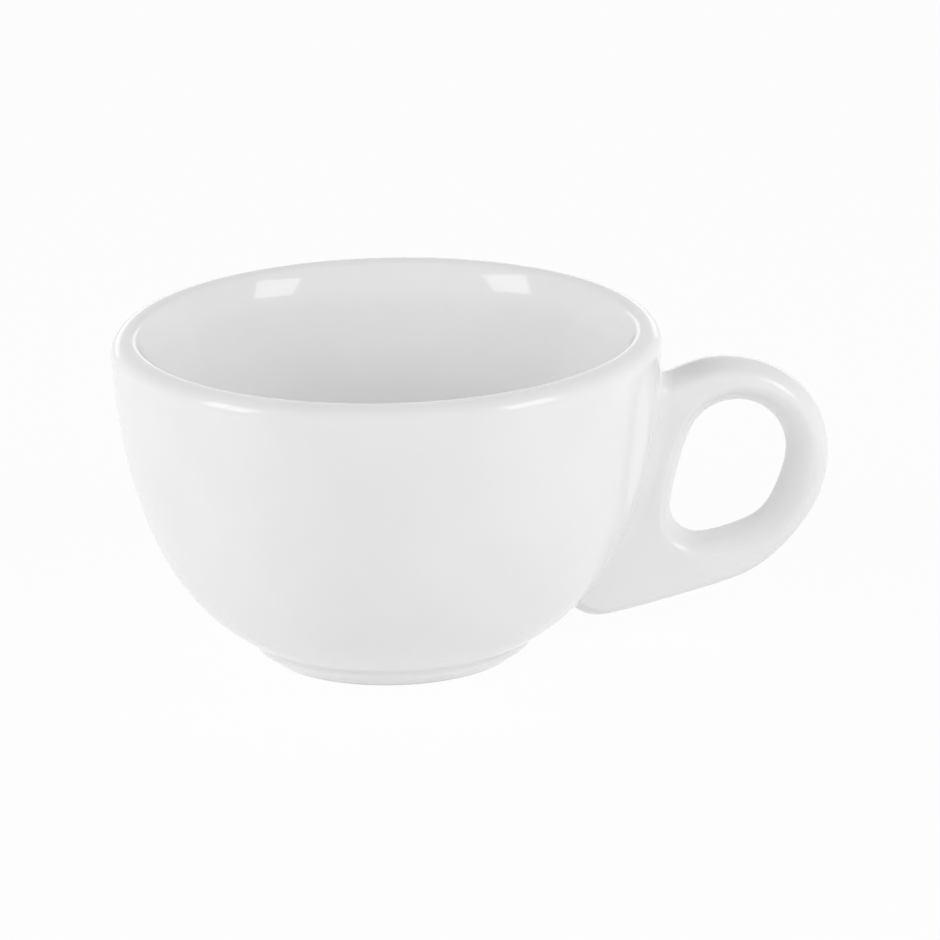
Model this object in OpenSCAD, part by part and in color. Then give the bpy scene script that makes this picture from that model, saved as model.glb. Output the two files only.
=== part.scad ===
// Cappuccino cup: a round bowl on a low foot ring, and a pierced loop handle stuck on with slip.
// Millimetres. The cup axis is Z, the table is z = 0 and the handle points along +X.

/* [Bowl] */
// Outside diameter of the rim
rim_d = 105; // [90:0.5:130]
// Height from the table to the top of the rim
cup_h = 63.6; // [54:0.2:78]
// Radius of the rounded outer edge of the rim
rim_round = 3.4; // [1.5:0.1:4]
// Lean of the outer side at the rim, in degrees from upright
rim_draft = 2.9; // [0:0.1:8]
// How far the upright stretch of the outer side reaches down
wall_reach = 44; // [30:1:50]
// Radius of the lip, the inner edge of the rim
lip_round = 1.9; // [0.6:0.1:3]
// Lean of the inner side where it leaves the lip, in degrees from upright
lip_lean = 30; // [15:1:40]
// Radius of the slow curve from the lip down to the inner wall
bevel_round = 17.5; // [8:0.5:24]
// Lean of the inner wall under that curve, in degrees from upright
inside_draft = 5; // [2:0.5:9]
// How far the upright stretch of the inner wall reaches down
inside_reach = 36; // [28:1:40]

/* [Foot] */
// Diameter of the foot where the bowl leaves it
foot_d = 53.4; // [44:0.2:66]
// Height of the foot where the bowl leaves it
foot_h = 3.2; // [2:0.1:5]
// Diameter of the outer edge that stands on the table
bearing_d = 47.6; // [38:0.2:56]
// Width of the ring that stands on the table
bearing_w = 3; // [2:0.1:5]
// Radius of the edges of the standing ring
bearing_round = 0.5; // [0.2:0.1:0.8]
// Height of the upright lower edge of the foot side
foot_edge_h = 2.1; // [1.4:0.1:2.8]
// Depth of the hollow under the base
recess_h = 1.5; // [1:0.1:2.5]
// Slope of the bowl where it leaves the foot, in degrees
foot_slope = 33; // [20:1:50]
// How far that slope carries on before the wall turns up
foot_reach = 8.7; // [4:0.1:14]

/* [Floor] */
// Thickness of the base over the hollow
base_t = 4.5; // [3.5:0.1:6]
// Radius of the level middle of the floor
floor_r = 12; // [6:0.5:16]
// How far the floor runs on before it turns up
floor_reach = 23; // [16:0.5:25]

/* [Handle] */
// Radius of the upper, larger end of the finger hole
hole_r = 9.6; // [8:0.1:13]
// Radius of the lower end of the finger hole
hole_low_r = 5.4; // [4:0.1:7]
// Height of the middle of the upper end of the hole
hole_z = 37.4; // [34:0.1:42]
// Drop from the middle of the upper end to the middle of the lower end
hole_drop = 11.2; // [8:0.1:14]
// Radius of the lower outer side of the hole
hole_side_r = 7.6; // [6:0.1:9]
// Drop from the middle of the upper end to the middle of that side
hole_side_drop = 6.9; // [4:0.1:8]
// How far the middle of that side lies back from the middle of the upper end
hole_side_back = 0.6; // [0:0.1:2]
// Width of the root between the bowl and the upper end of the hole
root_w = 7.4; // [6:0.1:11]
// Width of the root between the bowl and the lower end of the hole
root_low_w = 7.6; // [6:0.1:11]
// Width of the loop round the outer side of the hole
loop_w = 7.8; // [6:0.1:11]
// Thickness of the handle from front to back
handle_t = 10.4; // [8:0.1:13]
// How far the edge round the hole takes to round over, on the side away from the bowl
hole_edge = 5.2; // [3:0.1:6]
// How far that edge takes to round over next to the bowl
hole_edge_root = 2.8; // [2:0.1:5]
// How full that edge is: 2 is round and 1 a flat bevel
hole_bulge = 1.5; // [1.2:0.1:2]
// How far the outer edge takes to round over
outer_edge = 3; // [2:0.1:5]
// Radius of the long lower side of the handle
web_r = 21; // [18:0.1:24]
// Height of the middle of that side's curve over the middle of the hole's lower end
web_rise = 5.3; // [3:0.1:7]
// Width of the loop round the lower outer side of the hole
loop_low_w = 9.7; // [8:0.1:12]
// How far the middle of that curve lies back from the middle of the hole's upper end
loop_low_back = 2; // [0:0.1:4]
// Drop from the middle of the hole's upper end to the middle of that curve
loop_low_drop = 2.4; // [0:0.1:5]
// Height of the lowest point of the handle
heel_z = 5.2; // [4.5:0.1:8]
// Radius of the rounded heel
heel_r = 7; // [5:0.1:9]
// How far the middle of the heel lies outside the bowl
heel_out = 1.2; // [0:0.1:4]
// Rise of the top of the root over the top of the hole
root_rise = 2.9; // [2:0.1:5]
// Radius of the top of the root
root_r = 4.5; // [3:0.1:6]
// How far the middle of the top of the root lies inside the outer side of the bowl
root_sink = 1.5; // [1:0.1:3]
// Radius of the shoulder between the root and the loop
shoulder_r = 13.4; // [10:0.1:16]
// How far the middle of the shoulder lies back from the middle of the hole's upper end
shoulder_back = 3.3; // [2:0.1:5]
// Height of the middle of the shoulder over the middle of the hole's upper end
shoulder_rise = 4.5; // [3:0.1:6]

/* [Joint] */
// Thickness of the slip between the handle and the bowl, measured level
slip_t = 0.4; // [0.3:0.1:1]
// Width of the hollow bead of slip round the root
bead_w = 2.6; // [1:0.1:3.5]

/* [Hidden] */

// Number of straight steps on each curve
bowl_steps = 44;
rim_steps = 12;
small_steps = 5;
loop_steps = 90;
edge_steps = 7;
web_steps = 8;
bead_steps = 8;
back_steps = 4;
side_steps = 30;
end_steps = 12;
film_steps = 12;
outline_steps = 720;
halvings = 24;
$fn = 180;

// Clear space on both sides of the slip, so that the facets stay out of the clay
seat_gap = 0.02;
// Softness of the corners where the outline passes from one circle to the next
outline_soft = 0.5;

function unit(a) = [cos(a), sin(a)];
function bezier(a, b, c, d, t) =
    pow(1 - t, 3) * a + 3 * t * pow(1 - t, 2) * b + 3 * t * t * (1 - t) * c + pow(t, 3) * d;
function bezier_points(a, b, c, d, n) = [for (i = [0 : n]) bezier(a, b, c, d, i / n)];
function arc_points(centre, r, from, to, n) =
    [for (i = [0 : n]) centre + r * unit(from + (to - from) * i / n)];
function after_first(points) = [for (i = [1 : len(points) - 1]) points[i]];

// Outer side of the bowl, from the foot up to the rim
rim_centre = [rim_d / 2 - rim_round, cup_h - rim_round];
wall_top = rim_centre + rim_round * unit(-rim_draft);
wall_up = unit(90 - rim_draft);
foot_top = [foot_d / 2, foot_h];
outer_side = bezier_points(foot_top, foot_top + foot_reach * unit(foot_slope),
                           wall_top - wall_reach * wall_up, wall_top, bowl_steps);

// Arc that goes on from a point of the inner side while its lean from upright changes
function lean_arc(start, r, from, to, n) =
    arc_points(start - r * unit(180 - from), r, 180 - from, 180 - to, n);

// Inner side, from the top of the rim over the lip, down the slow curve and the wall to the floor
lip = lean_arc(rim_centre + [0, rim_round], lip_round, 90, lip_lean, small_steps);
bevel = lean_arc(lip[small_steps], bevel_round, lip_lean, inside_draft, rim_steps);
inside_top = bevel[rim_steps];
floor_z = recess_h + base_t;
floor_edge = [floor_r, floor_z];
inner_side = bezier_points(inside_top, inside_top - inside_reach * unit(90 - inside_draft),
                           floor_edge + [floor_reach, 0], floor_edge, bowl_steps);

// Half of the bowl in section, going round from the hollow under the base
bearing_r = bearing_d / 2;
bearing_in = bearing_r - bearing_w;
foot_lean = atan2(foot_edge_h, (foot_d - bearing_d) / 2);
bowl_section = concat(
    [[0, recess_h], [bearing_in - recess_h, recess_h]],
    arc_points([bearing_in + bearing_round, bearing_round], bearing_round, 225, 270, small_steps),
    arc_points([bearing_r - bearing_round, bearing_round], bearing_round, 270, 270 + foot_lean, small_steps),
    [[foot_d / 2, foot_edge_h]],
    outer_side,
    arc_points(rim_centre, rim_round, 0, 90, rim_steps),
    after_first(lip),
    after_first(bevel),
    after_first(inner_side),
    [[0, floor_z]]
);

// Radius of the outer side of the bowl at a height
radius_by_height = [for (p = outer_side) [p[1], p[0]]];
function bowl_r(z) = lookup(z, radius_by_height);
// Where the bowl lies along X at a height and a distance from the middle plane, d outside its surface
function bowl_x(y, z, d) = sqrt(pow(bowl_r(z) + d, 2) - y * y);

// Circles that the finger hole and the outline of the handle are drawn round: place, height and radius
hole_x = bowl_r(hole_z) + root_w + hole_r;
hole_low_z = hole_z - hole_drop;
hole_low_x = bowl_r(hole_low_z) + root_low_w + hole_low_r;
hole_circles = [
    [hole_x, hole_z, hole_r],
    [hole_x - hole_side_back, hole_z - hole_side_drop, hole_side_r],
    [hole_low_x, hole_low_z, hole_low_r]
];
heel_mid_z = heel_z + heel_r;
root_mid_z = hole_z + hole_r + root_rise - root_r;
outline_circles = [
    [hole_x, hole_z, hole_r + loop_w],
    [hole_x - shoulder_back, hole_z + shoulder_rise, shoulder_r],
    [hole_x - loop_low_back, hole_z - loop_low_drop, hole_r + loop_low_w],
    [hole_low_x, hole_low_z + web_rise, web_r],
    [bowl_r(heel_mid_z) + heel_out, heel_mid_z, heel_r],
    [bowl_r(root_mid_z) - root_sink, root_mid_z, root_r]
];

// The smooth outline round a set of circles, at the point that faces the direction a
function reach(c, a) = [c[0], c[1]] * unit(a) + c[2];
function outline_point(circles, a) =
    let (
        far = max([for (c = circles) reach(c, a)]),
        shares = [for (c = circles) exp((reach(c, a) - far) / outline_soft)],
        total = shares * [for (c = circles) 1],
        weights = shares / total,
        spread = -[for (w = weights) w] * [for (w = weights) ln(max(w, 1e-9))]
    )
    weights * [for (c = circles) [c[0], c[1]]]
    + (weights * [for (c = circles) c[2]] + outline_soft * spread) * unit(a);

// The same outline as a distance from the middle of the hole, by direction
hole_mid = [(hole_x + hole_low_x) / 2, (hole_z + hole_low_z) / 2];
function polar(p) = let (v = p - hole_mid, a = atan2(v[1], v[0])) [a < 0 ? a + 360 : a, norm(v)];
function polar_table(circles) =
    let (t = [for (i = [0 : outline_steps - 1]) polar(outline_point(circles, i * 360 / outline_steps))])
    concat(
        [for (p = t) if (p[0] > 350) [p[0] - 360, p[1]]],
        t,
        [for (p = t) if (p[0] < 10) [p[0] + 360, p[1]]]
    );
hole_table = polar_table(hole_circles);
outline_table = polar_table(outline_circles);
function hole_dist(a) = lookup(a, hole_table);
function outline_dist(a) = lookup(a, outline_table);

// Section of the handle along one direction from the hole: distance from hole_mid and distance from the
// middle plane. It runs from the hole over the front to the outer edge and back over the rear.
half_t = handle_t / 2;
// Power of the curve over the edge of the hole, and the width of that edge in one direction
hole_power = 2 / hole_bulge;
function hole_edge_at(a) = (hole_edge + hole_edge_root) / 2 + (hole_edge - hole_edge_root) / 2 * cos(a);
function edge_fit(a) = min(1, (outline_dist(a) - hole_dist(a)) / (hole_edge_at(a) + outer_edge));
function front_half(a) =
    let (
        k = edge_fit(a),
        r0 = hole_dist(a),
        r1 = outline_dist(a),
        inset = k * hole_edge_at(a),
        flat0 = r0 + inset,
        flat1 = r1 - k * outer_edge
    )
    concat(
        [for (i = [0 : edge_steps])
            let (b = 90 * i / edge_steps)
            [r0 + inset * (1 - pow(cos(b), hole_power)), -half_t * pow(sin(b), hole_power)]],
        [for (i = [1 : web_steps - 1]) [flat0 + (flat1 - flat0) * i / web_steps, -half_t]],
        [for (i = [edge_steps : -1 : 0])
            let (b = 90 * i / edge_steps) [r1 - k * outer_edge * (1 - cos(b)), -half_t * sin(b)]]
    );
function section(a) =
    let (front = front_half(a), n = len(front))
    concat(front, [for (i = [n - 2 : -1 : 1]) [front[i][0], -front[i][1]]]);

// A point of the handle, kept out of the bowl and its slip
function handle_point(a, p) =
    let (q = hole_mid + p[0] * unit(a))
    [max(q[0], bowl_x(p[1], q[1], slip_t)), p[1], q[1]];
handle_rings = [for (i = [0 : loop_steps - 1])
    let (a = 360 * i / loop_steps) [for (p = section(a)) handle_point(a, p)]];

function ring_faces(rings, around) = [
    for (i = [0 : rings - 1]) for (j = [0 : around - 1])
        let (i1 = (i + 1) % rings, j1 = (j + 1) % around)
        for (f = [[i * around + j, i * around + j1, i1 * around + j1],
                  [i * around + j, i1 * around + j1, i1 * around + j]]) f
];
function joined(lists) = [for (l = lists) for (p = l) p];

// Direction from the hole at which the outer edge of the handle, where it is y off the middle plane,
// comes within d of the bowl. The search halves the span from a0, clear of the bowl, to a1, inside it.
function edge_inset(y) = outer_edge * (1 - sqrt(max(0, 1 - pow(y / half_t, 2))));
function edge_point(a, y) = hole_mid + (outline_dist(a) - edge_inset(y)) * unit(a);
function clear_of_bowl(a, y, d) = let (q = edge_point(a, y)) q[0] - bowl_x(y, q[1], d);
function meet(a0, a1, y, d, n) =
    let (m = (a0 + a1) / 2)
    n == 0 ? edge_point(m, y)[1]
    : clear_of_bowl(m, y, d) > 0 ? meet(m, a1, y, d, n - 1)
    : meet(a0, m, y, d, n - 1);

// Closed line on the handle, d away from the bowl: over the top, down the rear, under the heel, up the front
function root_line(d) =
    let (
        top = meet(90, 180, half_t, d, halvings),
        low = meet(270, 180, half_t, d, halvings),
        flat = concat(
            [for (i = [0 : end_steps - 1])
                let (y = -half_t * cos(180 * i / end_steps)) [y, meet(90, 180, y, d, halvings)]],
            [for (i = [0 : side_steps - 1]) [half_t, top + (low - top) * i / side_steps]],
            [for (i = [0 : end_steps - 1])
                let (y = half_t * cos(180 * i / end_steps)) [y, meet(270, 180, y, d, halvings)]],
            [for (i = [0 : side_steps - 1]) [-half_t, low + (top - low) * i / side_steps]]
        )
    )
    [for (p = flat) [bowl_x(p[0], p[1], d), p[0], p[1]]];

// The slip: film under the root, then the bead from the bowl up to the handle
seam = root_line(slip_t);
bead_top = root_line(slip_t + bead_w);
bead_back = [for (k = [back_steps - 1 : -1 : 1]) root_line(slip_t + bead_w * k / back_steps)];
seam_n = len(seam);
seam_mid_z = (max([for (p = seam) p[2]]) + min([for (p = seam) p[2]])) / 2;
function away(i) =
    let (p = seam[(i + seam_n - 1) % seam_n], q = seam[(i + 1) % seam_n], v = [p[2] - q[2], q[1] - p[1]])
    v / norm(v);
function on_bowl(y, z, d) = [bowl_x(y, z, d), y, z];
function film_point(i, k, d) =
    let (p = seam[i]) on_bowl(p[1] * k, seam_mid_z + (p[2] - seam_mid_z) * k, d);
function bead_point(i, t) =
    let (
        s = seam[i],
        out = bead_w * away(i),
        corner = on_bowl(s[1], s[2], seat_gap),
        foot = on_bowl(s[1] + out[0], s[2] + out[1], seat_gap)
    )
    pow(1 - t, 2) * foot + 2 * t * (1 - t) * corner + t * t * bead_top[i];
slip_rings = [for (i = [0 : seam_n - 1]) concat(
    [for (k = [1 : film_steps]) film_point(i, k / film_steps, seat_gap)],
    [for (k = [0 : bead_steps]) bead_point(i, k / bead_steps)],
    [for (line = bead_back) line[i]],
    [for (k = [film_steps : -1 : 1]) film_point(i, k / film_steps, slip_t - seat_gap)]
)];
slip_around = len(slip_rings[0]);
slip_under = on_bowl(0, seam_mid_z, seat_gap);
slip_over = on_bowl(0, seam_mid_z, slip_t - seat_gap);
function slip_faces() = concat(
    [for (i = [0 : seam_n - 1]) for (j = [0 : slip_around - 2])
        let (i1 = (i + 1) % seam_n)
        for (f = [[i * slip_around + j, i * slip_around + j + 1, i1 * slip_around + j + 1],
                  [i * slip_around + j, i1 * slip_around + j + 1, i1 * slip_around + j]]) f],
    [for (i = [0 : seam_n - 1])
        let (i1 = (i + 1) % seam_n) [seam_n * slip_around, i * slip_around, i1 * slip_around]],
    [for (i = [0 : seam_n - 1])
        let (i1 = (i + 1) % seam_n)
        [seam_n * slip_around + 1, i1 * slip_around + slip_around - 1, i * slip_around + slip_around - 1]]
);

// Bowl, rim, floor and foot ring, formed in one
module cup_body() {
    color("white")
        rotate_extrude()
            polygon(bowl_section);
}

// Loop handle with its finger hole
module handle() {
    color("whitesmoke")
        polyhedron(joined(handle_rings), ring_faces(loop_steps, len(handle_rings[0])), convexity = 6);
}

// Slip that holds the handle on
module handle_slip() {
    color("snow")
        polyhedron(concat(joined(slip_rings), [slip_under, slip_over]), slip_faces(), convexity = 6);
}

cup_body();
handle();
handle_slip();
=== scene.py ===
import math

import bmesh
import bpy
import numpy as np
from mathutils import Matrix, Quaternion, Vector


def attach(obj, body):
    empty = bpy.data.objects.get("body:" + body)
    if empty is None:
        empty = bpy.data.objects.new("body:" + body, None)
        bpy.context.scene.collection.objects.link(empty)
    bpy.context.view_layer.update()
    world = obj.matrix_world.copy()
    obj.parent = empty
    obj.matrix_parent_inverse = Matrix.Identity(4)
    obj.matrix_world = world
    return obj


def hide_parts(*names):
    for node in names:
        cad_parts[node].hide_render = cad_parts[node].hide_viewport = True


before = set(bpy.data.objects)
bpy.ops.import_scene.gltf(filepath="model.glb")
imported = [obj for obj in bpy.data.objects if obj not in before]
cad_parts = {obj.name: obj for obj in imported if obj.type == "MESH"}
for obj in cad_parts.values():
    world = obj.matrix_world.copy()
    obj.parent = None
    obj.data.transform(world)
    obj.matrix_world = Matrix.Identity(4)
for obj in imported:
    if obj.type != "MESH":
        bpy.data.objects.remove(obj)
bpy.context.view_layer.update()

# Cappuccino cup: glazed bowl, loop handle and slip joint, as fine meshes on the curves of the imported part.
# Sizes are in metres and angles in degrees. Z is the axis of the bowl, the table is z = 0 and the handle
# points along +X. Names that end in _R are radii, _H and _Z heights, _W widths and _T thicknesses. A ROUND
# is the radius of a rounding, a REACH the pull of a curve at one end and a DRAFT an angle off upright.

# Bowl
RIM_R = 0.0525
CUP_H = 0.0636
RIM_ROUND = 0.0034
RIM_DRAFT = 2.9
WALL_REACH = 0.044
LIP_ROUND = 0.0019
LIP_LEAN = 30
BEVEL_ROUND = 0.0175
INSIDE_DRAFT = 5
INSIDE_REACH = 0.036

# Foot
FOOT_R = 0.0267
FOOT_H = 0.0032
BEARING_R = 0.0238
BEARING_W = 0.0030
BEARING_ROUND = 0.0005
FOOT_EDGE_H = 0.0021
FOOT_EDGE_ROUND = 0.0007
FOOT_TOP_ROUND = 0.0013
RECESS_H = 0.0015
RECESS_ROUND = 0.0012
FOOT_SLOPE = 33
FOOT_REACH = 0.0087
# Least rise from the end of the fillet on top of the foot to the next point of the side
FOOT_JOIN = 0.5 * FOOT_TOP_ROUND

# Floor
FLOOR_Z = 0.0060
FLOOR_R = 0.012
FLOOR_REACH = 0.023

# Handle
HOLE_R = 0.0096
HOLE_LOW_R = 0.0054
HOLE_Z = 0.0374
HOLE_DROP = 0.0112
HOLE_SIDE_R = 0.0076
HOLE_SIDE_DROP = 0.0069
HOLE_SIDE_BACK = 0.0006
ROOT_W = 0.0074
ROOT_LOW_W = 0.0076
LOOP_W = 0.0078
HALF_T = 0.0052
HOLE_EDGE = 0.0052
HOLE_EDGE_ROOT = 0.0028
HOLE_BULGE = 1.5
OUTER_EDGE = 0.0030
# The outer edge is an ellipse, which the slip's line on it relies on
OUTER_BULGE = 2.0
WEB_R = 0.021
WEB_RISE = 0.0053
LOOP_LOW_W = 0.0097
LOOP_LOW_BACK = 0.0020
LOOP_LOW_DROP = 0.0024
HEEL_Z = 0.0052
HEEL_R = 0.0070
HEEL_OUT = 0.0012
ROOT_RISE = 0.0029
ROOT_R = 0.0045
ROOT_SINK = 0.0015
SHOULDER_R = 0.0134
SHOULDER_BACK = 0.0033
SHOULDER_RISE = 0.0045
# Softness of the corners where an outline passes from one circle to the next
OUTLINE_SOFT = 0.0005
# Least weight of a circle in an outline, so that it has a logarithm
LEAST_WEIGHT = 1e-9

# Directions from the middle of the hole
UP = 90
TO_BOWL = 180
DOWN = 270

# Slip joint
SLIP_T = 0.0004
BEAD_W = 0.0026
SEAT_GAP = 0.00002
EDGE_SINK = 0.00003

# Glaze: two tones and two roughnesses that a slow cloud mixes, and a faint waviness
GLAZE_DARK = (0.848, 0.850, 0.850, 1)
GLAZE_PALE = (0.876, 0.876, 0.873, 1)
GLAZE_SPAN = (0.30, 0.70)
GLAZE_ROUGH = (0.05, 0.11)
CLOUD_SCALE = 48.0
CLOUD_DETAIL = 3.0
WAVE_SCALE = 110.0
WAVE_DETAIL = 2.0
WAVE_STRENGTH = 0.25
WAVE_DEPTH = 0.00008

# Bare clay: bare up to the first height and glazed from the second
BARE_HEIGHTS = (0.00012, 0.00030)
CLAY_DARK = (0.62, 0.60, 0.56, 1)
CLAY_PALE = (0.74, 0.72, 0.68, 1)
CLAY_SPAN = (0.35, 0.65)
CLAY_ROUGH = 0.75
GRAIN_SCALE = 2600.0
GRAIN_DETAIL = 4.0

# Distance under which two points are one
SAME_POINT = 0.0000002

# Steps of the meshes, curves and searches
AROUND = 288
WALL_STEPS = 110
# Step of the outer side that the last fillet of the foot turns towards
FOOT_JOIN_STEP = 2
RIM_STEPS = 20
SMALL_STEPS = 6
LEVEL_STEPS = 10
LOOP_STEPS = 360
EDGE_STEPS = 18
WEB_STEPS = 40
OUTLINE_STEPS = 2880
HALVINGS = 40
SEAM_END_STEPS = 48
SEAM_SIDE_STEPS = 140
BEAD_STEPS = 24
BACK_STEPS = 6
FILM_STEPS = 12

# Camera, found by fitting the outline of the bowl in the photograph
CAM_AIM = (0.01544, 0.0, 0.03480)
CAM_AZIMUTH = -3.54
CAM_ELEVATION = 17.34
CAM_ROLL = -1.20
CAM_DISTANCE = 1.708
CAM_LENS_MM = 341.6
CAM_SENSOR_MM = 36.0

# Floor: half its width, its white, and how much of it glows to the rays that see it and to the rest
FLOOR_HALF = 6.0
FLOOR_WHITE = 0.92
BACKDROP_SHARE = 0.94
FLOOR_GLOW = 0.22

# Fill light of the surround: shares by the height of a direction, 0 level and 1 straight up, and by its
# side, 0 at the left and 1 at the right
FILL_BY_HEIGHT = ((0.0, 0.05), (0.3, 0.85), (0.42, 1.0), (0.58, 0.98), (0.70, 0.05))
FILL_BY_SIDE = ((0.0, 0.77), (0.5, 0.57), (1.0, 0.77))
FILL_LEVEL = 2.45

# Two softboxes in front and a strip behind, with their power in watts
BOX_SIZE = 0.128
BOX_LEFT_PLACE = (-0.285, -0.10, 0.20)
BOX_RIGHT_PLACE = (0.25, -0.167, 0.20)
BOX_AIM = (0.0, 0.0, 0.05)
BOX_POWER = 0.16
STRIP_SIZE = (1.3, 0.24)
STRIP_PLACE = (0.0, 1.2, 0.17)
STRIP_POWER = 0.6


# Plane curves

def unit(angle):
    """Unit vectors at one angle or an array of angles."""
    a = np.radians(angle)
    return np.stack([np.cos(a), np.sin(a)], axis=-1)


def bezier(a, b, c, d, steps):
    """Cubic curve from a to d, drawn towards b and c."""
    t = np.linspace(0, 1, steps + 1)[:, None]
    return (1 - t) ** 3 * a + 3 * t * (1 - t) ** 2 * b + 3 * t * t * (1 - t) * c + t ** 3 * d


def arc(centre, radius, start, end, steps):
    """Points of an arc from one angle to another."""
    return np.array(centre) + radius * unit(np.linspace(start, end, steps + 1))


def line(a, b, steps):
    """Points of a straight line from a to b."""
    t = np.linspace(0, 1, steps + 1)[:, None]
    return (1 - t) * np.array(a) + t * np.array(b)


def fillet(before, corner, after, radius, steps):
    """The corner of a line, rounded by an arc that touches both of its sides."""
    u, v = (np.array(p) - corner for p in (before, after))
    u, v = u / np.linalg.norm(u), v / np.linalg.norm(v)
    half = math.acos(float(u @ v)) / 2
    middle = (u + v) / np.linalg.norm(u + v)
    centre = corner + middle * radius / math.sin(half)
    start, end = (corner + w * radius / math.tan(half) - centre for w in (u, v))
    a0, a1 = (math.degrees(math.atan2(w[1], w[0])) for w in (start, end))
    turn = (a1 - a0 + 180) % 360 - 180
    return arc(centre, radius, a0, a0 + turn, steps)


# Section of the bowl, as (radius, height)

WALL_UP = unit(90 - RIM_DRAFT)
RIM_CENTRE = np.array([RIM_R - RIM_ROUND, CUP_H - RIM_ROUND])
WALL_TOP = RIM_CENTRE + RIM_ROUND * unit(-RIM_DRAFT)
FOOT_TOP = np.array([FOOT_R, FOOT_H])
FLOOR_EDGE = np.array([FLOOR_R, FLOOR_Z])


def outer_side(steps):
    """From the top of the foot up to the rim."""
    return bezier(FOOT_TOP, FOOT_TOP + FOOT_REACH * unit(FOOT_SLOPE),
                  WALL_TOP - WALL_REACH * WALL_UP, WALL_TOP, steps)


def lean_arc(start, radius, lean_from, lean_to, steps):
    """Arc that goes on from a point of the inner side; a lean is how far it faces up from level."""
    turn = radius * unit(180 - np.linspace(lean_from, lean_to, steps + 1))
    return start + turn - turn[0]


def inner_rim():
    """From the top of the rim over the lip and down the slow curve inside it."""
    crest = RIM_CENTRE + np.array([0, RIM_ROUND])
    lip = lean_arc(crest, LIP_ROUND, 90, LIP_LEAN, RIM_STEPS)
    bevel = lean_arc(lip[-1], BEVEL_ROUND, LIP_LEAN, INSIDE_DRAFT, RIM_STEPS)
    return np.concatenate([lip[1:], bevel[1:]])


def inner_side(steps):
    """From the lower end of that curve down to the floor."""
    top = inner_rim()[-1]
    return bezier(top, top - INSIDE_REACH * unit(90 - INSIDE_DRAFT),
                  FLOOR_EDGE + np.array([FLOOR_REACH, 0]), FLOOR_EDGE, steps)


def foot_section():
    """From the middle of the hollow under the base to the start of the bowl, with every edge rounded."""
    bearing_in = BEARING_R - BEARING_W
    hollow = np.array([0, RECESS_H])
    hollow_edge = np.array([bearing_in - RECESS_H, RECESS_H])
    ring_in, ring_out = np.array([bearing_in, 0]), np.array([BEARING_R, 0])
    foot_edge = np.array([FOOT_R, FOOT_EDGE_H])
    bowl_start = outer_side(WALL_STEPS)[FOOT_JOIN_STEP]
    corners = [hollow, hollow_edge, ring_in, ring_out, foot_edge, FOOT_TOP, bowl_start]
    rounds = [RECESS_ROUND, BEARING_ROUND, BEARING_ROUND, FOOT_EDGE_ROUND, FOOT_TOP_ROUND]
    arcs = [fillet(*corners[i:i + 3], r, SMALL_STEPS) for i, r in enumerate(rounds)]
    points = [line(hollow, arcs[0][0], LEVEL_STEPS)[1:-1]]
    for here, after in zip(arcs, arcs[1:]):
        points += [here, line(here[-1], after[0], SMALL_STEPS)[1:-1]]
    return np.concatenate(points + [arcs[-1]])


def bowl_section():
    """Half of the bowl from the hollow under the base round to the floor, without its two middle points."""
    foot = foot_section()
    outer = outer_side(WALL_STEPS)
    outer = outer[outer[:, 1] > foot[-1, 1] + FOOT_JOIN]
    rim = arc(RIM_CENTRE, RIM_ROUND, -RIM_DRAFT, 90, RIM_STEPS)[1:]
    inner = inner_side(WALL_STEPS)[1:]
    floor = line(FLOOR_EDGE, (0, FLOOR_Z), LEVEL_STEPS)[1:-1]
    return np.concatenate([foot, outer, rim, inner_rim(), inner, floor])


WALL_TABLE = outer_side(OUTLINE_STEPS)


def bowl_r(z):
    """Radius of the outer side at a height."""
    return np.interp(z, WALL_TABLE[:, 1], WALL_TABLE[:, 0])


def bowl_x(y, z, d):
    """Where the bowl lies along X, d outside its surface."""
    return np.sqrt((bowl_r(z) + d) ** 2 - y * y)


# Outlines of the handle, in the plane of X and Z

HOLE_LOW_Z = HOLE_Z - HOLE_DROP
HOLE_X = bowl_r(HOLE_Z) + ROOT_W + HOLE_R
HOLE_LOW_X = bowl_r(HOLE_LOW_Z) + ROOT_LOW_W + HOLE_LOW_R
HOLE_MID = np.array([(HOLE_X + HOLE_LOW_X) / 2, (HOLE_Z + HOLE_LOW_Z) / 2])
HEEL_MID_Z = HEEL_Z + HEEL_R
ROOT_MID_Z = HOLE_Z + HOLE_R + ROOT_RISE - ROOT_R
HOLE_CIRCLES = np.array([
    (HOLE_X, HOLE_Z, HOLE_R),
    (HOLE_X - HOLE_SIDE_BACK, HOLE_Z - HOLE_SIDE_DROP, HOLE_SIDE_R),
    (HOLE_LOW_X, HOLE_LOW_Z, HOLE_LOW_R),
])
OUTLINE_CIRCLES = np.array([
    (HOLE_X, HOLE_Z, HOLE_R + LOOP_W),
    (HOLE_X - SHOULDER_BACK, HOLE_Z + SHOULDER_RISE, SHOULDER_R),
    (HOLE_X - LOOP_LOW_BACK, HOLE_Z - LOOP_LOW_DROP, HOLE_R + LOOP_LOW_W),
    (HOLE_LOW_X, HOLE_LOW_Z + WEB_RISE, WEB_R),
    (bowl_r(HEEL_MID_Z) + HEEL_OUT, HEEL_MID_Z, HEEL_R),
    (bowl_r(ROOT_MID_Z) - ROOT_SINK, ROOT_MID_Z, ROOT_R),
])


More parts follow.
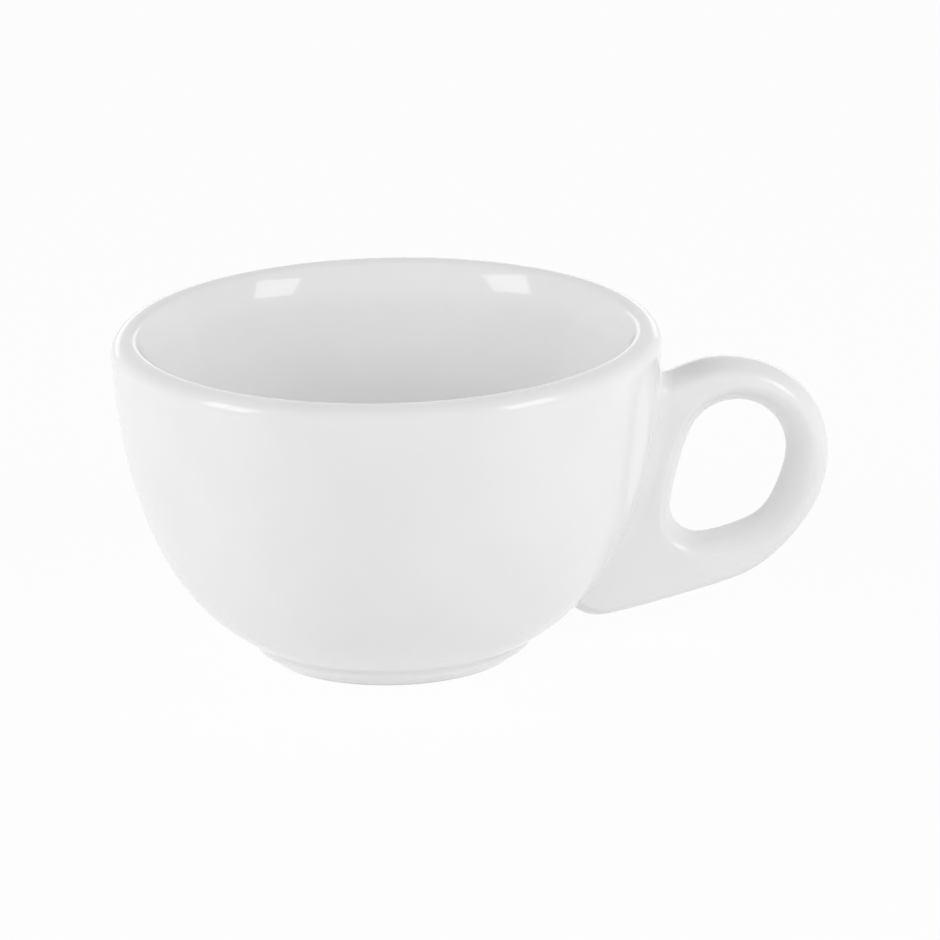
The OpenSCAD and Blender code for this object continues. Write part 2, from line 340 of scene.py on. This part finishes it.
def soft_outline(circles):
    """The smooth outline round a set of circles, as (direction, distance) from the middle of the hole."""
    facing = unit(np.linspace(0, 360, OUTLINE_STEPS, endpoint=False))
    reach = facing @ circles[:, :2].T + circles[:, 2]
    shares = np.exp((reach - reach.max(axis=1, keepdims=True)) / OUTLINE_SOFT)
    weights = shares / shares.sum(axis=1, keepdims=True)
    spread = -(weights * np.log(np.maximum(weights, LEAST_WEIGHT))).sum(axis=1)
    out = weights @ circles[:, 2] + OUTLINE_SOFT * spread
    v = weights @ circles[:, :2] + out[:, None] * facing - HOLE_MID
    return np.degrees(np.arctan2(v[:, 1], v[:, 0])), np.linalg.norm(v, axis=1)


HOLE_OUTLINE = soft_outline(HOLE_CIRCLES)
OUTER_OUTLINE = soft_outline(OUTLINE_CIRCLES)


def distance(outline, angle):
    """Distance from the middle of the hole to an outline in one direction."""
    return np.interp(angle, *outline, period=360)


# Meshes

def make_piece(name, points, faces, material, node):
    """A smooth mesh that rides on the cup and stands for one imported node."""
    mesh = bpy.data.meshes.new(name)
    mesh.from_pydata(points.tolist(), [], faces)
    work = bmesh.new()
    work.from_mesh(mesh)
    bmesh.ops.remove_doubles(work, verts=work.verts, dist=SAME_POINT)
    bmesh.ops.recalc_face_normals(work, faces=work.faces)
    work.to_mesh(mesh)
    work.free()
    mesh.shade_smooth()
    mesh.materials.append(material)
    piece = bpy.data.objects.new(name, mesh)
    bpy.context.scene.collection.objects.link(piece)
    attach(piece, "root")
    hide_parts(node)
    return piece


def grid_faces(rows, columns, close_columns):
    """Quads of a grid of points whose rows close on themselves."""
    last = columns if close_columns else columns - 1
    return [(i * columns + j, i * columns + (j + 1) % columns,
             (i + 1) % rows * columns + (j + 1) % columns, (i + 1) % rows * columns + j)
            for i in range(rows) for j in range(last)]


def end_fans(rows, columns):
    """Triangles that close both ends of such a grid on two middle points, which follow its own points."""
    first, last = rows * columns, rows * columns + 1
    faces = []
    for i in range(rows):
        here, after = i * columns, (i + 1) % rows * columns
        faces.append((first, here, after))
        faces.append((last, after + columns - 1, here + columns - 1))
    return faces


def make_bowl(material):
    """The section turned round the axis, closed by a point under the base and a point on the floor."""
    section = bowl_section()
    turns = unit(np.linspace(0, 360, AROUND, endpoint=False))
    count = len(section)
    points = np.empty((AROUND, count, 3))
    points[..., :2] = turns[:, None, :] * section[None, :, :1]
    points[..., 2] = section[:, 1]
    faces = grid_faces(AROUND, count, False) + end_fans(AROUND, count)
    middles = [(0, 0, RECESS_H), (0, 0, FLOOR_Z)]
    points = np.concatenate([points.reshape(-1, 3), middles])
    make_piece("bowl_glazed", points, faces, material, "cup_body")


def rounded_edge(bulge):
    """Quarter of an edge as shares (inset, height): a bulge of 2 is an ellipse and 1 a flat bevel."""
    turn = np.radians(np.linspace(0, 90, EDGE_STEPS + 1))
    return 1 - np.cos(turn) ** (2 / bulge), np.sin(turn) ** (2 / bulge)


def handle_section(angle):
    """Section along one direction from the hole: distances from its middle and from the middle plane."""
    r0, r1 = distance(HOLE_OUTLINE, angle), distance(OUTER_OUTLINE, angle)
    across = math.cos(math.radians(angle))
    hole_edge = (HOLE_EDGE + HOLE_EDGE_ROOT) / 2 + (HOLE_EDGE - HOLE_EDGE_ROOT) / 2 * across
    # Both edges shrink where the band between the outlines is narrower than the two of them
    fit = min(1, (r1 - r0) / (hole_edge + OUTER_EDGE))
    hole_in, hole_y = rounded_edge(HOLE_BULGE)
    outer_in, outer_y = rounded_edge(OUTER_BULGE)
    inner, outer = r0 + fit * hole_edge * hole_in, r1 - fit * OUTER_EDGE * outer_in
    flat = np.linspace(inner[-1], outer[-1], WEB_STEPS + 1)[1:-1]
    front_r = np.concatenate([inner, flat, outer[::-1]])
    front_y = -HALF_T * np.concatenate([hole_y, np.ones(len(flat)), outer_y[::-1]])
    return np.concatenate([front_r, front_r[-2:0:-1]]), np.concatenate([front_y, -front_y[-2:0:-1]])


def clear_of_bowl(angle, r, y):
    """Which points along one direction from the hole lie outside the bowl and its slip."""
    q = HOLE_MID + r[:, None] * unit(angle)
    return q[:, 0] > bowl_x(y, q[:, 1], SLIP_T)


def stop_at_bowl(angle, r, y):
    """Distances along one direction, each cut short where it would enter the bowl or its slip."""
    low, high = np.zeros(len(r)), np.array(r)
    for _ in range(HALVINGS):
        mid = (low + high) / 2
        free = clear_of_bowl(angle, mid, y)
        low, high = np.where(free, mid, low), np.where(free, high, mid)
    return np.where(clear_of_bowl(angle, r, y), r, low)


def make_handle(material):
    """Sections all round the hole, joined into a loop that ends at the slip on the bowl."""
    rings = []
    for angle in np.linspace(0, 360, LOOP_STEPS, endpoint=False):
        r, y = handle_section(angle)
        xz = HOLE_MID + stop_at_bowl(angle, r, y)[:, None] * unit(angle)
        rings.append(np.stack([xz[:, 0], y, xz[:, 1]], axis=1))
    points = np.concatenate(rings)
    faces = grid_faces(LOOP_STEPS, len(rings[0]), True)
    make_piece("handle_glazed", points, faces, material, "handle")


# Slip joint

def on_bowl(y, z, d):
    """Points of the bowl's surface, or d outside it."""
    return np.stack([bowl_x(y, z, d), y, z], axis=-1)


def meet(clear, inside, y, d, sink):
    """Heights at which the outer edge of the handle, y off its middle plane, comes within d of the bowl.

    The edge is sunk by a little, and the search runs between a clear direction and one inside the bowl.
    """
    inset = sink + OUTER_EDGE * (1 - np.sqrt(np.maximum(0, 1 - (y / (HALF_T - sink)) ** 2)))
    low, high = np.full(len(y), float(clear)), np.full(len(y), float(inside))
    for _ in range(HALVINGS):
        mid = (low + high) / 2
        q = HOLE_MID + (distance(OUTER_OUTLINE, mid) - inset)[:, None] * unit(mid)
        free = q[:, 0] > bowl_x(y, q[:, 1], d)
        low, high = np.where(free, mid, low), np.where(free, high, mid)
    return q[:, 1]


def root_line(d, sink=0.0):
    """Closed line on the handle, d from the bowl: over the top, down the rear, under the heel and up."""
    half = HALF_T - sink
    across = -half * np.cos(np.linspace(0, math.pi, SEAM_END_STEPS + 1))
    top, heel = meet(UP, TO_BOWL, across, d, sink), meet(DOWN, TO_BOWL, across, d, sink)
    down = np.linspace(top[-1], heel[-1], SEAM_SIDE_STEPS + 1)
    side = np.full(SEAM_SIDE_STEPS, half)
    y = np.concatenate([across[:-1], side, across[:0:-1], -side])
    z = np.concatenate([top[:-1], down[:-1], heel[:0:-1], down[:0:-1]])
    return on_bowl(y, z, d)


def make_slip(material):
    """Film under the root of the handle and a hollow bead round it, in rings that go out and back.

    The thin edges of the bead are sunk a little into the bowl and the handle, as the glaze runs over them.
    """
    seam, bead_top = root_line(SLIP_T), root_line(SLIP_T + BEAD_W, EDGE_SINK)
    # Straight out from the seam, as steps in Y and Z as long as the bead is wide
    step = np.roll(seam, -1, axis=0) - np.roll(seam, 1, axis=0)
    out = np.stack([-step[:, 2], step[:, 1]], axis=1)
    out *= BEAD_W / np.linalg.norm(out, axis=1, keepdims=True)
    corner = on_bowl(seam[:, 1], seam[:, 2], SEAT_GAP)
    foot = on_bowl(seam[:, 1] + out[:, 0], seam[:, 2] + out[:, 1], -EDGE_SINK)
    mid_z = (seam[:, 2].max() + seam[:, 2].min()) / 2

    def film(k, d):
        """The seam drawn in to a share k of its size, d outside the bowl."""
        return on_bowl(seam[:, 1] * k, mid_z + (seam[:, 2] - mid_z) * k, d)

    def bead(t):
        """One ring of the bead's hollow face, from 0 at the bowl to 1 at the handle."""
        return (1 - t) ** 2 * foot + 2 * t * (1 - t) * corner + t * t * bead_top

    shares = np.arange(1, FILM_STEPS + 1) / FILM_STEPS
    slide = (1 - np.cos(np.linspace(0, math.pi, BEAD_STEPS + 1))) / 2
    columns = [film(k, SEAT_GAP) for k in shares]
    foot_column = len(columns)
    columns += [bead(t) for t in slide]
    top_column = len(columns) - 1
    backs = [SLIP_T + BEAD_W * k / BACK_STEPS for k in range(BACK_STEPS - 1, 0, -1)]
    columns += [root_line(d, EDGE_SINK) for d in backs]
    columns += [film(k, SLIP_T - SEAT_GAP) for k in shares[::-1]]
    rings = np.stack(columns, axis=1)
    rows, count = rings.shape[:2]
    faces = grid_faces(rows, count, False) + end_fans(rows, count)
    middles = on_bowl(np.zeros(2), np.full(2, mid_z), np.array([SEAT_GAP, SLIP_T - SEAT_GAP]))
    points = np.concatenate([rings.reshape(-1, 3), middles])
    piece = make_piece("handle_joint_glazed", points, faces, material, "handle_slip")
    # The two thin edges of the bead stay sharp. No points of the slip are merged, so its grid still counts.
    for edge in piece.data.edges:
        a, b = edge.vertices
        if max(a, b) < rows * count and a % count == b % count and a % count in (foot_column, top_column):
            edge.use_edge_sharp = True


# Materials

def new_material(name):
    """A material with its nodes, its links and its main shader."""
    material = bpy.data.materials.new(name)
    material.use_nodes = True
    nodes, links = material.node_tree.nodes, material.node_tree.links
    return material, nodes, links, nodes["Principled BSDF"]


def add_noise(nodes, links, place, scale, detail):
    """Noise through the body of the piece, in its own coordinates."""
    noise = nodes.new("ShaderNodeTexNoise")
    noise.inputs["Scale"].default_value = scale
    noise.inputs["Detail"].default_value = detail
    links.new(place.outputs["Object"], noise.inputs["Vector"])
    return noise.outputs["Fac"]


def add_tones(nodes, links, value, span, dark, pale):
    """Colour between two tones as a value goes through a span."""
    tones = nodes.new("ShaderNodeValToRGB")
    for stop, position, colour in zip(tones.color_ramp.elements, span, (dark, pale)):
        stop.position = position
        stop.color = colour
    links.new(value, tones.inputs["Fac"])
    return tones.outputs["Color"]


def make_glaze(name, bare_foot):
    """White gloss glaze: slow changes of tone and gloss, a faint waviness and, on the bowl, a bare ring."""
    material, nodes, links, shader = new_material(name)
    place = nodes.new("ShaderNodeTexCoord")

    cloud = add_noise(nodes, links, place, CLOUD_SCALE, CLOUD_DETAIL)
    colour = add_tones(nodes, links, cloud, GLAZE_SPAN, GLAZE_DARK, GLAZE_PALE)

    gloss = nodes.new("ShaderNodeMapRange")
    gloss.inputs["To Min"].default_value, gloss.inputs["To Max"].default_value = GLAZE_ROUGH
    links.new(cloud, gloss.inputs["Value"])
    rough = gloss.outputs["Result"]

    bump = nodes.new("ShaderNodeBump")
    bump.inputs["Strength"].default_value = WAVE_STRENGTH
    bump.inputs["Distance"].default_value = WAVE_DEPTH
    links.new(add_noise(nodes, links, place, WAVE_SCALE, WAVE_DETAIL), bump.inputs["Height"])
    links.new(bump.outputs["Normal"], shader.inputs["Normal"])

    if bare_foot:
        colour, rough = add_bare_clay(nodes, links, place, colour, rough)
    links.new(colour, shader.inputs["Base Color"])
    links.new(rough, shader.inputs["Roughness"])
    return material


def add_bare_clay(nodes, links, place, colour, rough):
    """The standing ring is wiped clean of glaze, so it shows dry clay up to a soft line above the table."""
    split = nodes.new("ShaderNodeSeparateXYZ")
    links.new(place.outputs["Object"], split.inputs["Vector"])
    bare = nodes.new("ShaderNodeMapRange")
    bare.interpolation_type = "SMOOTHSTEP"
    bare.inputs["From Min"].default_value, bare.inputs["From Max"].default_value = BARE_HEIGHTS
    bare.inputs["To Min"].default_value = 1.0
    bare.inputs["To Max"].default_value = 0.0
    links.new(split.outputs["Z"], bare.inputs["Value"])

    grain = add_noise(nodes, links, place, GRAIN_SCALE, GRAIN_DETAIL)
    clay = add_tones(nodes, links, grain, CLAY_SPAN, CLAY_DARK, CLAY_PALE)

    mix = nodes.new("ShaderNodeMix")
    mix.data_type = "RGBA"
    links.new(bare.outputs["Result"], mix.inputs["Factor"])
    links.new(colour, mix.inputs["A"])
    links.new(clay, mix.inputs["B"])
    dull = nodes.new("ShaderNodeMapRange")
    dull.inputs["To Max"].default_value = CLAY_ROUGH
    links.new(bare.outputs["Result"], dull.inputs["Value"])
    links.new(rough, dull.inputs["To Min"])
    return mix.outputs["Result"], dull.outputs["Result"]


# Studio

def seen_rays(nodes, links):
    """1 for the rays that show a surface: straight to the camera, by a reflection or through glass."""
    path = nodes.new("ShaderNodeLightPath")
    seen = path.outputs["Is Camera Ray"]
    for other in ("Is Glossy Ray", "Is Transmission Ray"):
        either = nodes.new("ShaderNodeMath")
        either.operation = "MAXIMUM"
        links.new(seen, either.inputs[0])
        links.new(path.outputs[other], either.inputs[1])
        seen = either.outputs["Value"]
    return seen


def make_floor():
    """Large pale floor. It takes the shadow, and shows nearly white to the rays that see it."""
    material = bpy.data.materials.new("studio_floor")
    material.use_nodes = True
    nodes, links = material.node_tree.nodes, material.node_tree.links
    nodes.clear()
    paper = nodes.new("ShaderNodeBsdfDiffuse")
    paper.inputs["Color"].default_value = (FLOOR_WHITE, FLOOR_WHITE, FLOOR_WHITE, 1)
    white = nodes.new("ShaderNodeEmission")
    share = nodes.new("ShaderNodeMapRange")
    share.inputs["To Min"].default_value = FLOOR_GLOW
    share.inputs["To Max"].default_value = BACKDROP_SHARE
    links.new(seen_rays(nodes, links), share.inputs["Value"])
    mix = nodes.new("ShaderNodeMixShader")
    links.new(share.outputs["Result"], mix.inputs["Fac"])
    links.new(paper.outputs["BSDF"], mix.inputs[1])
    links.new(white.outputs["Emission"], mix.inputs[2])
    out = nodes.new("ShaderNodeOutputMaterial")
    links.new(mix.outputs["Shader"], out.inputs["Surface"])

    mesh = bpy.data.meshes.new("studio_floor")
    h = FLOOR_HALF
    mesh.from_pydata([(-h, -h, 0), (h, -h, 0), (h, h, 0), (-h, h, 0)], [], [(0, 1, 2, 3)])
    mesh.materials.append(material)
    floor = bpy.data.objects.new("studio_floor", mesh)
    bpy.context.scene.collection.objects.link(floor)


def grey_ramp(nodes, links, value, stops):
    """Grey level by a value from 0 to 1, through the given stops. A new ramp already has two."""
    ramp = nodes.new("ShaderNodeValToRGB")
    for i, (position, level) in enumerate(stops):
        stop = ramp.color_ramp.elements[i] if i < 2 else ramp.color_ramp.elements.new(position)
        stop.position = position
        stop.color = (level, level, level, 1)
    links.new(value, ramp.inputs["Fac"])
    return ramp.outputs["Color"]


def make_world():
    """White surround: full white where it is seen, and a fill light that is stronger from the two sides."""
    world = bpy.data.worlds.new("studio")
    world.use_nodes = True
    nodes, links = world.node_tree.nodes, world.node_tree.links
    place = nodes.new("ShaderNodeTexCoord")
    split = nodes.new("ShaderNodeSeparateXYZ")
    links.new(place.outputs["Generated"], split.inputs["Vector"])
    across = nodes.new("ShaderNodeMapRange")
    across.inputs["From Min"].default_value = -1.0
    links.new(split.outputs["X"], across.inputs["Value"])
    belt = grey_ramp(nodes, links, split.outputs["Z"], FILL_BY_HEIGHT)
    side = grey_ramp(nodes, links, across.outputs["Result"], FILL_BY_SIDE)
    shape = nodes.new("ShaderNodeMath")
    shape.operation = "MULTIPLY"
    links.new(belt, shape.inputs[0])
    links.new(side, shape.inputs[1])
    fill = nodes.new("ShaderNodeMapRange")
    fill.inputs["To Max"].default_value = FILL_LEVEL
    links.new(shape.outputs["Value"], fill.inputs["Value"])
    level = nodes.new("ShaderNodeMapRange")
    level.inputs["To Max"].default_value = 1.0
    links.new(fill.outputs["Result"], level.inputs["To Min"])
    links.new(seen_rays(nodes, links), level.inputs["Value"])
    back = nodes["Background"]
    back.inputs["Color"].default_value = (1, 1, 1, 1)
    links.new(level.outputs["Result"], back.inputs["Strength"])
    bpy.context.scene.world = world


def turned_from_front(azimuth, elevation):
    """Direction out from the cup; azimuth 0 is the front, -Y, and grows towards +X."""
    a, e = math.radians(azimuth), math.radians(elevation)
    return Vector((math.sin(a) * math.cos(e), -math.cos(a) * math.cos(e), math.sin(e)))


def make_softbox(name, place):
    """Small square lamp in front of the cup and to one side, aimed at it."""
    lamp = bpy.data.lights.new(name, "AREA")
    lamp.shape = "SQUARE"
    lamp.size = BOX_SIZE
    lamp.energy = BOX_POWER
    box = bpy.data.objects.new(name, lamp)
    box.location = place
    box.rotation_mode = "QUATERNION"
    box.rotation_quaternion = (Vector(BOX_AIM) - box.location).to_track_quat("-Z", "Y")
    box.visible_camera = False
    bpy.context.scene.collection.objects.link(box)


def make_strip():
    """Low strip of light behind the cup, facing the front, for the bright line along the inner lip."""
    lamp = bpy.data.lights.new("back_strip", "AREA")
    lamp.shape = "RECTANGLE"
    lamp.size, lamp.size_y = STRIP_SIZE
    lamp.energy = STRIP_POWER
    strip = bpy.data.objects.new("back_strip", lamp)
    strip.location = STRIP_PLACE
    strip.rotation_euler = (-math.pi / 2, 0, 0)
    strip.visible_camera = False
    bpy.context.scene.collection.objects.link(strip)


def make_camera():
    """Camera at the angle of the photograph."""
    data = bpy.data.cameras.new("camera")
    data.sensor_width = CAM_SENSOR_MM
    data.lens = CAM_LENS_MM
    camera = bpy.data.objects.new("camera", data)
    out = turned_from_front(CAM_AZIMUTH, CAM_ELEVATION)
    camera.location = Vector(CAM_AIM) + out * CAM_DISTANCE
    camera.rotation_mode = "QUATERNION"
    roll = Quaternion((0, 0, 1), math.radians(CAM_ROLL))
    camera.rotation_quaternion = (-out).to_track_quat("-Z", "Y") @ roll
    bpy.context.scene.collection.objects.link(camera)
    bpy.context.scene.camera = camera


make_bowl(make_glaze("body_glaze", True))
make_handle(make_glaze("handle_glaze", False))
make_slip(make_glaze("slip_glaze", False))
make_floor()
make_world()
make_softbox("softbox_left", BOX_LEFT_PLACE)
make_softbox("softbox_right", BOX_RIGHT_PLACE)
make_strip()
make_camera()
bpy.context.scene.view_settings.view_transform = "Standard"
